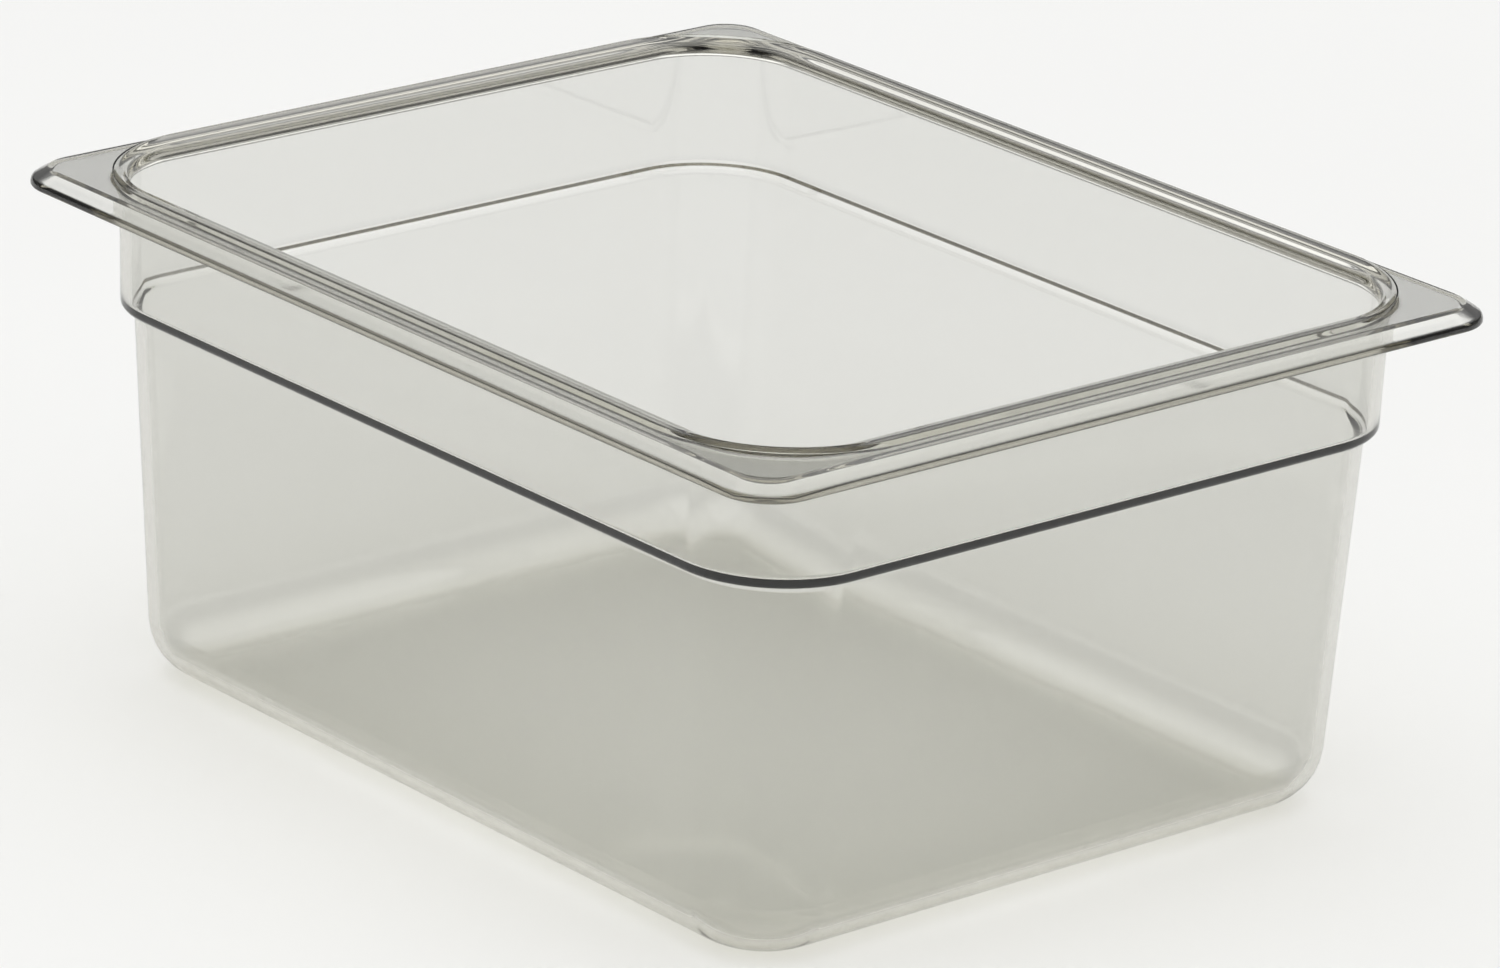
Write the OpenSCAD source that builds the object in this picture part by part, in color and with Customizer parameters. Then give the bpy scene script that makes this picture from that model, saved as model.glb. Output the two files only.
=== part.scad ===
// Clear food pan for a deli counter, half size, one injection moulding.
// The origin is at the middle of the base. X runs along the long side and Z points up.

/* [Pan] */
// Length over the rim
rim_length = 325; // [300:1:360]
// Width over the rim
rim_width = 265; // [240:1:300]
// Height from the base to the top of the bead
pan_height = 150; // [120:1:200]
// Thickness of the walls, the base and the rim
wall = 3; // [2.4:0.1:3.4]

/* [Walls] */
// How far the rim stands out past the upper wall
overhang = 13.5; // [12:0.5:16]
// Outside corner radius of the upper wall
wall_corner = 30; // [28:1:36]
// Depth of the stacking shoulder's lower edge below the top
shoulder_drop = 39.8; // [30:0.1:44]
// How far the wall steps in at the shoulder
shoulder_step = 3.8; // [3.2:0.1:5]
// Height over which the inside of the wall steps in
ledge_slope = 2.7; // [1:0.1:4]
// Draft angle of the lower wall
draft = 2.7; // [1:0.1:3]
// Outside radius between the lower wall and the base
base_round = 17.4; // [10:0.2:18]

/* [Rim] */
// Corner radius of the lip
lip_corner = 15; // [13:1:18]
// Height of the lip's upright edge
lip_height = 2; // [1.5:0.1:3]
// Slope of the skirt between the land and the lip, seen from above
skirt_width = 5.2; // [4:0.2:6]
// Height of the land above the lip's lower edge
land_rise = 5.2; // [4.8:0.1:6]

/* [Bead] */
// Distance from the lip to the bead's crest
bead_inset = 10.2; // [9.6:0.1:10.6]
// Height of the bead above the land
bead_height = 1.8; // [1:0.1:2.2]
// Width of the flat along the top of the bead
bead_flat = 1.2; // [0.8:0.1:2]
// Depth of the mouth's inner edge below the top of the bead
mouth_drop = 2.7; // [2:0.1:3.5]
// Radius of the bead's round outer side
bead_round = 3; // [2.6:0.1:3.4]
// Corner radius along the bead's crest
bead_corner = 41; // [38:1:44]

/* [Hidden] */
$fn = 96;

// Heights of the rim's steps
land_z = pan_height - bead_height;
lip_z = land_z - land_rise;
under_z = land_z - wall;

// The shoulder's flat underside, and the ledge that it leaves inside the pan. The ledge
// slopes down to the same height, and their upper edges are rounded.
shoulder_z = pan_height - shoulder_drop;
shoulder_round = 1.7;
ledge_round = 1.3;

// The lip's edges are broken by a small chamfer, and its lower face is a little narrower
// than the wall
lip_chamfer = 0.4;
lip_foot = 0.8 * wall;

// The bead and the walls reach this far into the rim's plate, so that they join it
bead_root = 1;
wall_root = wall / 2;

// Distances of the corner centres from the outside of the rim
wall_centre = overhang + wall_corner;
bead_centre = bead_inset + bead_corner;

// The mouth flares out from the inside of the wall to the bead
mouth_z = pan_height - mouth_drop;
flare_step = 0.2;
mouth_inset = bead_inset + bead_flat;
mouth_corner = bead_centre - mouth_inset;
above = 0.05;

// Half lengths of the box that joins the corner centres, for centres set in from the rim
function half_x(inset) = rim_length / 2 - inset;
function half_y(inset) = rim_width / 2 - inset;

// Flat rectangle with round corners, set in from the outside of the rim
module outline(inset, corner) {
    cx = half_x(inset + corner);
    cy = half_y(inset + corner);
    square([2 * cx, 2 * (cy + corner)], center = true);
    square([2 * (cx + corner), 2 * cy], center = true);
    for (x = [-cx, cx], y = [-cy, cy])
        translate([x, y])
            circle(corner);
}

// Carries a section round the pan: its x is the distance out from the corner centres,
// its y is the height
module around(inset) {
    cx = half_x(inset);
    cy = half_y(inset);
    for (corner = [[cx, cy, 0], [-cx, cy, 90], [-cx, -cy, 180], [cx, -cy, 270]])
        translate([corner[0], corner[1], 0])
            rotate(corner[2])
                rotate_extrude(angle = 90)
                    children();
    for (side = [[cx, 0, 0, cy], [0, cy, 90, cx], [-cx, 0, 180, cy], [0, -cy, 270, cx]])
        translate([side[0], side[1], 0])
            rotate(side[2])
                rotate([90, 0, 0])
                    linear_extrude(height = 2 * side[3], center = true)
                        children();
}

// Section of a drafted bowl with a round bottom edge, out from its corner centre
module bowl_section(wide, low, high, round_r) {
    centre_z = low + round_r;
    touch_z = centre_z - round_r * sin(draft);
    touch_x = wide - (high - touch_z) * tan(draft);
    centre_x = touch_x - round_r * cos(draft);
    intersection() {
        union() {
            polygon([[0, low], [centre_x, low], [touch_x, touch_z], [wide, high], [0, high]]);
            translate([centre_x, centre_z])
                circle(round_r);
        }
        translate([0, low])
            square([wide, high - low]);
    }
}

// Section of a straight side over a step that rises outward by the given height, with the
// edge between them rounded
module stepped_section(wide, high, rise, round_r) {
    slope = atan(rise / shoulder_step);
    centre_x = wide - round_r;
    centre_z = shoulder_z + rise + round_r * (1 - sin(slope)) / cos(slope);
    touch_x = centre_x + round_r * sin(slope);
    touch_z = centre_z - round_r * cos(slope);
    polygon([
        [0, shoulder_z],
        [wide - shoulder_step, shoulder_z],
        [touch_x, touch_z],
        [wide, centre_z],
        [wide, high],
        [0, high]
    ]);
    translate([centre_x, centre_z])
        circle(round_r);
}

// Outside of the walls and the base, as a solid block
module outside() {
    around(wall_centre)
        bowl_section(wall_corner - shoulder_step, 0, shoulder_z, base_round);
    around(wall_centre)
        stepped_section(wall_corner, under_z + wall_root, 0, shoulder_round);
    translate([-half_x(wall_centre), -half_y(wall_centre), 0])
        cube([2 * half_x(wall_centre), 2 * half_y(wall_centre), under_z + wall_root]);
}

// Land, skirt, lip and bead
module rim() {
    lip_top = lip_z + lip_height;
    translate([0, 0, under_z])
        linear_extrude(height = wall)
            outline(skirt_width, lip_corner - skirt_width);
    around(lip_corner)
        polygon([
            [lip_corner - skirt_width, land_z],
            [lip_corner - lip_chamfer, lip_top + lip_chamfer / 2],
            [lip_corner, lip_top],
            [lip_corner, lip_z + lip_chamfer],
            [lip_corner - lip_chamfer, lip_z],
            [lip_corner - lip_foot, lip_z],
            [lip_corner - skirt_width, under_z]
        ]);
    around(bead_centre)
        intersection() {
            translate([bead_corner, pan_height - bead_round])
                circle(bead_round);
            translate([bead_corner, land_z - bead_root])
                square([bead_round, bead_height + bead_root]);
        }
    translate([0, 0, land_z - bead_root])
        linear_extrude(height = bead_height + bead_root)
            outline(bead_inset, bead_corner);
}

// Space inside the pan, with the flared mouth
module inside() {
    inner_corner = wall_corner - wall;
    around(wall_centre)
        bowl_section(inner_corner - shoulder_step, wall, shoulder_z, base_round - wall);
    around(wall_centre)
        stepped_section(inner_corner, mouth_z, ledge_slope, ledge_round);
    translate([-half_x(wall_centre), -half_y(wall_centre), wall])
        cube([2 * half_x(wall_centre), 2 * half_y(wall_centre), mouth_z - wall]);
    hull() {
        translate([0, 0, mouth_z - above])
            linear_extrude(height = above)
                outline(overhang + wall - flare_step, inner_corner + flare_step);
        translate([0, 0, pan_height])
            linear_extrude(height = above)
                outline(mouth_inset, mouth_corner);
    }
}

// The pan: rim, walls, shoulder and base in one piece
module pan() {
    color([0.80, 0.80, 0.77, 0.45])
        difference() {
            union() {
                outside();
                rim();
            }
            inside();
        }
}

pan();
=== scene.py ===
# Clear food pan for a deli counter, moulded in one piece, on a pale studio floor.
import math

import bmesh
import bpy
from mathutils import Matrix, Vector


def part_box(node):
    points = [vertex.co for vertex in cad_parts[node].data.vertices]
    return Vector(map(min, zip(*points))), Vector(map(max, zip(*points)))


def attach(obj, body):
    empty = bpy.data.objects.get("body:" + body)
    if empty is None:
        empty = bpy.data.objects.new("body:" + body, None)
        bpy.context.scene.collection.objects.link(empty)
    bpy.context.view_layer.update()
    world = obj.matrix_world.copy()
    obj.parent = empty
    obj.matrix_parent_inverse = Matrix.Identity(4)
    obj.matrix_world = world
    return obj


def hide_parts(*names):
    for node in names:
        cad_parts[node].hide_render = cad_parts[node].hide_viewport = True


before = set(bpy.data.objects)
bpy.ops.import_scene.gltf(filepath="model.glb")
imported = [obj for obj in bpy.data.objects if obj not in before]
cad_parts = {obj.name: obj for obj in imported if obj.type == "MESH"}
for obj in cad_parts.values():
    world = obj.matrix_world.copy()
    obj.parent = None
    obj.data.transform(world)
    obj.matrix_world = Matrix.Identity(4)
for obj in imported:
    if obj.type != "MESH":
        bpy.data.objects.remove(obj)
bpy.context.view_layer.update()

MM = 0.001

# ---------------------------------------------------------------- sizes, in millimetres
low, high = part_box("pan")
LENGTH, WIDTH, HEIGHT = ((high - low) / MM)[:]
WALL = 3.0

# Heights. The shoulder is a step outside, the ledge is the slope that it makes inside
BEAD_HEIGHT = 1.8
LAND_Z = HEIGHT - BEAD_HEIGHT
UNDER_Z = LAND_Z - WALL
LIP_TOP_Z = 145.0
LIP_Z = 143.0
SHOULDER_Z = 110.2
SHOULDER_SLOPE = 0.25
LEDGE_Z = 110.15
LEDGE_SLOPE = 2.7
MOUTH_Z = 148.2

# Insets from the lip's outer edge
SKIRT = 5.2
SKIRT_FOOT = 6.7
BEAD_OUTER = 7.7
BEAD_TOP = 8.5
BEAD_INNER = 10.6
OUTER_WALL = 13.3
SHOULDER_EDGE = 13.5
SHOULDER_STEP = 3.8
LIP_FOOT = 2.1

# Where the corners are centred, as distances from the lip's outer edge
LIP_CENTRE = 15.0
BEAD_FOOT_CENTRE = 54.2
BEAD_TOP_CENTRE = 50.6
BEAD_INNER_CENTRE = 49.0
WALL_CENTRE = 43.5
SHOULDER_CENTRE = 45.0
BASE_CENTRE = 47.7

DRAFT = math.tan(math.radians(2.7))
BASE_ROUND = 17.4

# Mesh steps: along the section's arcs, round the pan's corners and along its sides. HOLD is
# the narrow strip beside each arc that keeps the shading of the flats flat
ARC_STEP = math.radians(11)
CORNER_STEPS = 32
LONG_STEPS = 14
SHORT_STEPS = 10
HOLD = 0.35
LONGEST = 12.0
BASE_RINGS = 4

# How far apart vertices may be and still count as one
SAME_POINT = 0.002


def drafted(z):
    """Inset of the lower wall's outside at height z."""
    return SHOULDER_EDGE + SHOULDER_STEP + (SHOULDER_Z - z) * DRAFT


def section():
    """The pan's section from the inside of the base over the rim to the underside:
    inset, height, corner centre and the radius that rounds the section there."""
    inside = [
        (BASE_CENTRE, WALL, BASE_CENTRE, 0),
        (drafted(WALL) + WALL, WALL, BASE_CENTRE, BASE_ROUND - WALL),
        (drafted(LEDGE_Z) + WALL, LEDGE_Z, SHOULDER_CENTRE, 1.8),
        (SHOULDER_EDGE + WALL, LEDGE_Z + LEDGE_SLOPE, SHOULDER_CENTRE, 1.25),
        (OUTER_WALL + WALL, MOUTH_Z, WALL_CENTRE, 2.8),
    ]
    rim = [
        (BEAD_INNER, HEIGHT, BEAD_INNER_CENTRE, 5.0),
        (BEAD_TOP, HEIGHT, BEAD_TOP_CENTRE, 0.6),
        (BEAD_OUTER, LAND_Z, BEAD_FOOT_CENTRE, 0.6),
        (SKIRT, LAND_Z, LIP_CENTRE, 1.4),
        (0, LIP_TOP_Z, LIP_CENTRE, 2.2),
        (0, LIP_Z, LIP_CENTRE, 0.6),
        (LIP_FOOT, LIP_Z, LIP_CENTRE, 0.4),
        (SKIRT_FOOT, UNDER_Z, LIP_CENTRE, 0.6),
    ]
    outside = [
        (OUTER_WALL, UNDER_Z, WALL_CENTRE, 1.2),
        (SHOULDER_EDGE, SHOULDER_Z + SHOULDER_SLOPE, SHOULDER_CENTRE, 1.7),
        (drafted(SHOULDER_Z), SHOULDER_Z, SHOULDER_CENTRE, 1.95),
        (drafted(0), 0, BASE_CENTRE, BASE_ROUND),
        (BASE_CENTRE, 0, BASE_CENTRE, 0),
    ]
    return inside + rim + outside


def mix(a, b, t):
    return a + (b - a) * t


def between(start, end, t):
    return tuple(mix(a, b, t) for a, b in zip(start, end))


def toward(key, other, distance):
    """The point that lies that far from key on the way to other."""
    length = math.dist(key[:2], other[:2])
    return between(key[:3], other[:3], distance / length)


def opening(before, key, after):
    """The angle of the section at key, and the directions back and ahead."""
    back = (Vector(before[:2]) - Vector(key[:2])).normalized()
    ahead = (Vector(after[:2]) - Vector(key[:2])).normalized()
    return back.angle(ahead), back, ahead


def reach(before, key, after):
    """How far from key its arc touches the straight stretches."""
    return key[3] / math.tan(opening(before, key, after)[0] / 2)


def arc(before, key, after):
    """Points that round the section at key."""
    angle, back, ahead = opening(before, key, after)
    touch = reach(before, key, after)
    start = toward(key, before, touch)
    end = toward(key, after, touch)
    centre = Vector(key[:2]) + (back + ahead).normalized() * key[3] / math.sin(angle / 2)
    spoke = Vector(start[:2]) - centre
    sweep = math.pi - angle
    if back.x * ahead.y - back.y * ahead.x > 0:
        sweep = -sweep
    steps = max(3, math.ceil(abs(sweep) / ARC_STEP))
    points = []
    for step in range(steps + 1):
        t = step / steps
        place = centre + Matrix.Rotation(sweep * t, 2) @ spoke
        corner = mix(mix(start[2], key[2], t), mix(key[2], end[2], t), t)
        points.append((place.x, place.y, corner))
    return points


def straight(start, end):
    """Points between two arcs: one just past each arc, and divisions in between."""
    length = math.dist(start[:2], end[:2])
    hold = min(HOLD, length / 3) / length
    first = between(start, end, hold)
    last = between(start, end, 1 - hold)
    parts = max(1, math.ceil(length / LONGEST))
    return [between(first, last, i / parts) for i in range(parts + 1)]


def profile():
    """The section with its arcs, and with the straight stretches divided."""
    keys = section()
    arcs = [arc(*corner) for corner in zip(keys, keys[1:], keys[2:])]
    stops = [[keys[0][:3]]] + arcs + [[keys[-1][:3]]]
    points = list(stops[0])
    for before, after in zip(stops, stops[1:]):
        points += straight(before[-1], after[0]) + after
    return points


def ring(inset, z, centre):
    """A rounded rectangle of points at height z."""
    x = LENGTH / 2 - centre
    y = WIDTH / 2 - centre
    radius = centre - inset
    corners = [(x, y, LONG_STEPS), (-x, y, SHORT_STEPS), (-x, -y, LONG_STEPS), (x, -y, SHORT_STEPS)]
    points = []
    for quarter, (cx, cy, steps) in enumerate(corners):
        for step in range(CORNER_STEPS + 1):
            angle = math.pi / 2 * (quarter + step / CORNER_STEPS)
            points.append(Vector((cx + radius * math.cos(angle), cy + radius * math.sin(angle), z)))
        following = corners[(quarter + 1) % 4]
        angle = math.pi / 2 * (quarter + 1)
        end = Vector((following[0] + radius * math.cos(angle), following[1] + radius * math.sin(angle), z))
        points += [points[-1].lerp(end, step / steps) for step in range(1, steps)]
    return points


def nested(z, inward):
    """Rings that fill the flat base from its corner centres to the middle."""
    centres = [mix(BASE_CENTRE, WIDTH / 2, (i + 1) / BASE_RINGS) for i in range(BASE_RINGS)]
    if inward:
        centres.reverse()
    return [(centre, z, centre) for centre in centres]


def shell_mesh():
    rows = nested(WALL, True) + profile() + nested(0, False)
    bm = bmesh.new()
    rings = [[bm.verts.new(point * MM) for point in ring(*row)] for row in rows]
    for lower, upper in zip(rings, rings[1:]):
        for i in range(len(lower)):
            j = (i + 1) % len(lower)
            bm.faces.new((lower[i], lower[j], upper[j], upper[i]))
    bmesh.ops.remove_doubles(bm, verts=bm.verts, dist=SAME_POINT * MM)
    bmesh.ops.dissolve_degenerate(bm, edges=bm.edges, dist=SAME_POINT / 2 * MM)
    bmesh.ops.recalc_face_normals(bm, faces=bm.faces)
    for face in bm.faces:
        face.smooth = True
    mesh = bpy.data.meshes.new("pan_shell")
    bm.to_mesh(mesh)
    bm.free()
    return mesh


# ---------------------------------------------------------------- materials
def new_material(name):
    material = bpy.data.materials.new(name)
    material.use_nodes = True
    tree = material.node_tree
    tree.nodes.clear()
    return material, tree


def add(tree, kind, **inputs):
    """Adds a node and sets its inputs, named with _ for each space."""
    node = tree.nodes.new(kind)
    for name, value in inputs.items():
        node.inputs[name.replace("_", " ")].default_value = value
    return node


def polycarbonate():
    """Clear moulded polycarbonate, a little uneven and hazy, with a warm grey in its depth.
    Shadow rays pass straight through it."""
    material, tree = new_material("clear_polycarbonate")
    link = tree.links.new
    place = add(tree, "ShaderNodeTexCoord")
    glass = add(tree, "ShaderNodeBsdfPrincipled", Base_Color=(0.9, 0.905, 0.895, 1), IOR=1.585)
    glass.inputs["Transmission Weight"].default_value = 1
    waves = add(tree, "ShaderNodeTexNoise", Scale=18, Detail=1)
    link(place.outputs["Object"], waves.inputs["Vector"])
    bump = add(tree, "ShaderNodeBump", Strength=0.15, Distance=0.0004)
    link(waves.outputs["Fac"], bump.inputs["Height"])
    link(bump.outputs["Normal"], glass.inputs["Normal"])
    haze = add(tree, "ShaderNodeTexNoise", Scale=60, Detail=6)
    link(place.outputs["Object"], haze.inputs["Vector"])
    rough = add(tree, "ShaderNodeMapRange")
    rough.inputs["From Min"].default_value = 0.35
    rough.inputs["From Max"].default_value = 0.75
    rough.inputs["To Min"].default_value = 0.025
    rough.inputs["To Max"].default_value = 0.06
    link(haze.outputs["Fac"], rough.inputs["Value"])
    link(rough.outputs["Result"], glass.inputs["Roughness"])
    clear = add(tree, "ShaderNodeBsdfTransparent", Color=(0.9, 0.9, 0.885, 1))
    path = add(tree, "ShaderNodeLightPath")
    sides = add(tree, "ShaderNodeMixShader")
    link(path.outputs["Is Shadow Ray"], sides.inputs["Fac"])
    link(glass.outputs["BSDF"], sides.inputs[1])
    link(clear.outputs["BSDF"], sides.inputs[2])
    depth = add(tree, "ShaderNodeVolumeAbsorption", Color=(0.5, 0.47, 0.36, 1), Density=50)
    out = add(tree, "ShaderNodeOutputMaterial")
    link(sides.outputs["Shader"], out.inputs["Surface"])
    link(depth.outputs["Volume"], out.inputs["Volume"])
    return material


def studio_floor():
    """Pale matt floor with a barely visible mottle."""
    material, tree = new_material("studio_floor")
    link = tree.links.new
    place = add(tree, "ShaderNodeTexCoord")
    mottle = add(tree, "ShaderNodeTexNoise", Scale=3, Detail=3)
    link(place.outputs["Object"], mottle.inputs["Vector"])
    ramp = add(tree, "ShaderNodeValToRGB")
    ramp.color_ramp.elements[0].color = (0.80, 0.80, 0.795, 1)
    ramp.color_ramp.elements[1].color = (0.83, 0.83, 0.825, 1)
    link(mottle.outputs["Fac"], ramp.inputs["Fac"])
    matt = add(tree, "ShaderNodeBsdfPrincipled", Roughness=0.9)
    link(ramp.outputs["Color"], matt.inputs["Base Color"])
    out = add(tree, "ShaderNodeOutputMaterial")
    link(matt.outputs["BSDF"], out.inputs["Surface"])
    return material


# ---------------------------------------------------------------- the pan
def place_object(name, mesh, material):
    thing = bpy.data.objects.new(name, mesh)
    bpy.context.scene.collection.objects.link(thing)
    mesh.materials.append(material)
    return thing


pan = place_object("pan_shell", shell_mesh(), polycarbonate())
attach(pan, "root")
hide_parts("pan")

# ---------------------------------------------------------------- studio, in metres
FLOOR_Z = -0.0003
FLOOR_RADIUS = 4.6
COVE_RADIUS = 0.8
COVE_TURN = math.radians(75)
FLOOR_RINGS = (0.02, 0.1, 0.25, 0.5, 0.75, 1)
TURN_STEPS = 96
COVE_STEPS = 12


def studio_bowl():
    """A round floor that curves up into a low wall."""
    rows = [(FLOOR_RADIUS * part, FLOOR_Z) for part in FLOOR_RINGS]
    for step in range(1, COVE_STEPS + 1):
        angle = COVE_TURN * step / COVE_STEPS
        out = FLOOR_RADIUS + COVE_RADIUS * math.sin(angle)
        rows.append((out, FLOOR_Z + COVE_RADIUS * (1 - math.cos(angle))))
    bm = bmesh.new()
    middle = bm.verts.new((0, 0, FLOOR_Z))
    turns = [math.tau * step / TURN_STEPS for step in range(TURN_STEPS)]
    rings = [[bm.verts.new((r * math.cos(t), r * math.sin(t), z)) for t in turns] for r, z in rows]
    for i in range(TURN_STEPS):
        j = (i + 1) % TURN_STEPS
        bm.faces.new((middle, rings[0][i], rings[0][j]))
        for lower, upper in zip(rings, rings[1:]):
            bm.faces.new((lower[i], upper[i], upper[j], lower[j]))
    for face in bm.faces:
        face.smooth = True
    mesh = bpy.data.meshes.new("studio_floor")
    bm.to_mesh(mesh)
    bm.free()
    return mesh


place_object("studio_floor", studio_bowl(), studio_floor())


def facing(azimuth, elevation):
    """The direction from the pan towards the camera. Azimuth 0 is on the -Y side."""
    a = math.radians(azimuth)
    e = math.radians(elevation)
    return Vector((math.sin(a) * math.cos(e), -math.cos(a) * math.cos(e), math.sin(e)))


def studio_sky():
    """An even, bright ceiling over a dark room: the pale part starts well above the horizon."""
    sky = bpy.data.worlds.new("studio_sky")
    sky.use_nodes = True
    tree = sky.node_tree
    link = tree.links.new
    way = add(tree, "ShaderNodeTexCoord")
    split = add(tree, "ShaderNodeSeparateXYZ")
    link(way.outputs["Generated"], split.inputs["Vector"])
    ramp = add(tree, "ShaderNodeValToRGB")
    ramp.color_ramp.elements[0].position = 0.45
    ramp.color_ramp.elements[0].color = (0.08, 0.08, 0.083, 1)
    ramp.color_ramp.elements[1].position = 0.75
    ramp.color_ramp.elements[1].color = (1, 1, 0.99, 1)
    link(split.outputs["Z"], ramp.inputs["Fac"])
    background = tree.nodes["Background"]
    link(ramp.outputs["Color"], background.inputs["Color"])
    background.inputs["Strength"].default_value = 1.7
    return sky


bpy.context.scene.world = studio_sky()

# ---------------------------------------------------------------- camera
CAMERA_AZIMUTH = 49.01
CAMERA_ELEVATION = 19.98
CAMERA_ROLL = 2.38
CAMERA_DISTANCE = 2.2308
CAMERA_TARGET = Vector((0.00345, 0.00197, 0.075))
LENS = 192.66

back = facing(CAMERA_AZIMUTH, CAMERA_ELEVATION)
right = Vector((0, 0, 1)).cross(back).normalized()
up = back.cross(right)
turn = Matrix((right, up, back)).transposed() @ Matrix.Rotation(math.radians(CAMERA_ROLL), 3, "Z")
lens = bpy.data.cameras.new("camera")
lens.lens = LENS
camera = bpy.data.objects.new("camera", lens)
camera.matrix_world = Matrix.Translation(CAMERA_TARGET + back * CAMERA_DISTANCE) @ turn.to_4x4()
bpy.context.scene.collection.objects.link(camera)
bpy.context.scene.camera = camera

scene = bpy.context.scene
scene.view_settings.view_transform = "Standard"
scene.cycles.max_bounces = 32
scene.cycles.transmission_bounces = 32
scene.cycles.glossy_bounces = 12
scene.cycles.transparent_max_bounces = 16
